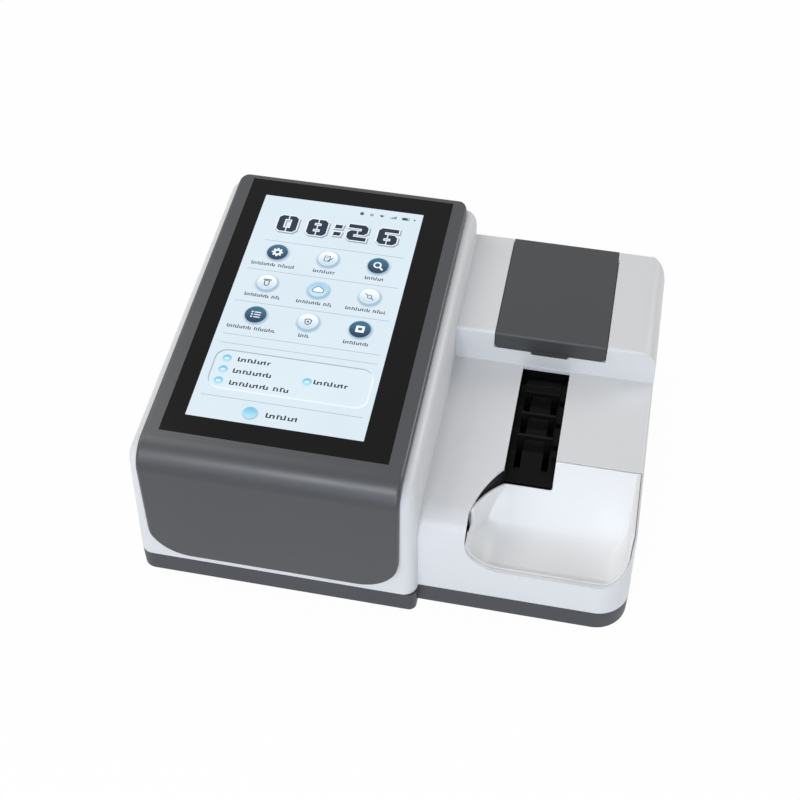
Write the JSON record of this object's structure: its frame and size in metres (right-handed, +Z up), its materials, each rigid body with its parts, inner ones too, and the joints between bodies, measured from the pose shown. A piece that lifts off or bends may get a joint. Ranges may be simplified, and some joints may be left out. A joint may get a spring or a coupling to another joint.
{
  "type": "urine analyzer",
  "caption": "Table-top urine strip analyzer: sloping touch screen in a dark bezel, strip channel with a walking comb, scooped lift-out tray and a flap-lid printer.",
  "frame": {"origin": "middle of the footprint's bounding box, on the surface that the feet stand on", "axes": "+X to the user's right along the front, +Y to the rear, +Z up"},
  "size_m": [0.32, 0.2576, 0.1375],
  "materials": {
    "white_case": "fine satin moulded white",
    "base_grey": "fine textured dark grey moulding",
    "bezel_grey": "fine textured dark grey moulding",
    "door_grey": "fine textured dark grey moulding",
    "cover_glass": "clear glass with a black printed back",
    "display": "lit display panel in a thin metal tray",
    "sheet_metal": "zinc-plated sheet steel",
    "steel": "turned and ground steel",
    "screw_steel": "zinc-plated steel",
    "black_plastic": "black engineering plastic",
    "rubber_black": "soft black rubber",
    "board_green": "green solder mask on glass-fibre board",
    "socket_metal": "tinned socket shell",
    "clear_window": "clear acrylic",
    "gear_white": "natural acetal",
    "tray_white": "smooth satin white tray",
    "paper": "thermal paper, matt",
    "card": "grey-brown card tube, matt",
    "motor_metal": "black-painted motor can",
    "ceramic": "glazed ceramic on an aluminium plate"
  },
  "bodies": {
    "housing": {"main_housing": "white_case", "base_pan": "base_grey", "rubber_feet": "rubber_black", "base_screws": "screw_steel", "bezel_shell": "bezel_grey", "touch_glass": "cover_glass", "lcd_panel": "display", "display_frame": "sheet_metal", "display_screws": "screw_steel", "main_board": "board_green", "power_board": "board_green", "serial_port": "socket_metal", "usb_port": "socket_metal", "network_port": "socket_metal", "power_inlet": "black_plastic", "switch_frame": "black_plastic", "speaker": "black_plastic", "strip_bed": "black_plastic", "reader_window": "clear_window", "reader_head": "black_plastic", "reader_board": "board_green", "lift_solenoid": "motor_metal", "lift_guides": "steel", "printer_frame": "black_plastic", "printer_screws": "screw_steel", "print_head": "ceramic", "head_spring": "steel", "printer_motor": "motor_metal", "hinge_pin": "steel"},
    "rocker": {"power_rocker": "black_plastic"},
    "carriage": {"lift_carriage": "sheet_metal", "slide_rods": "steel", "lift_plunger": "steel", "comb_motor": "motor_metal"},
    "comb": {"strip_comb": "black_plastic"},
    "comb_drive": {"comb_pinion": "gear_white"},
    "tray": {"strip_tray": "tray_white"},
    "door": {"printer_door": "door_grey"},
    "platen": {"platen_shaft": "steel", "platen_roller": "rubber_black", "platen_gear": "gear_white"},
    "printer_drive": {"driver_gear": "gear_white"},
    "roll": {"paper_roll": "paper", "roll_core": "card"}
  },
  "joints": [
    {"name": "rocker_tip", "type": "hinge", "parent": "housing", "child": "rocker", "pos_m": [-0.0044, 0.12204, 0.0425], "axis": [-1, 0, 0], "range_deg": [0, 14]},
    {"name": "carriage_lift", "type": "slide", "parent": "housing", "child": "carriage", "axis": [0, 0, 1], "range_m": [0, 0.0045]},
    {"name": "comb_stroke", "type": "slide", "parent": "carriage", "child": "comb", "axis": [0, -1, 0], "range_m": [0, 0.0192]},
    {"name": "pinion_turn", "type": "hinge", "parent": "carriage", "child": "comb_drive", "pos_m": [0.0859, -0.01716, 0.05075], "axis": [1, 0, 0], "range_deg": [0, 183.4]},
    {"name": "tray_lift_out", "type": "slide", "parent": "housing", "child": "tray", "axis": [0, 0, 1], "range_m": [0, 0.045]},
    {"name": "door_hinge", "type": "hinge", "parent": "housing", "child": "door", "pos_m": [0.0865, 0.12334, 0.1035], "axis": [-1, 0, 0], "range_deg": [0, 95]},
    {"name": "platen_spin", "type": "hinge", "parent": "door", "child": "platen", "pos_m": [0.0865, 0.04584, 0.0987], "axis": [1, 0, 0], "continuous": true},
    {"name": "driver_spin", "type": "hinge", "parent": "housing", "child": "printer_drive", "pos_m": [0.0865, 0.04584, 0.0879], "axis": [1, 0, 0], "continuous": true},
    {"name": "roll_spin", "type": "hinge", "parent": "housing", "child": "roll", "pos_m": [0.0865, 0.08884, 0.0765], "axis": [1, 0, 0], "continuous": true}
  ],
  "couplings": [
    {"joint": "pinion_turn", "follows": "comb_stroke", "rad_per_m": 166.67},
    {"joint": "driver_spin", "follows": "platen_spin", "ratio": -1.25}
  ]
}
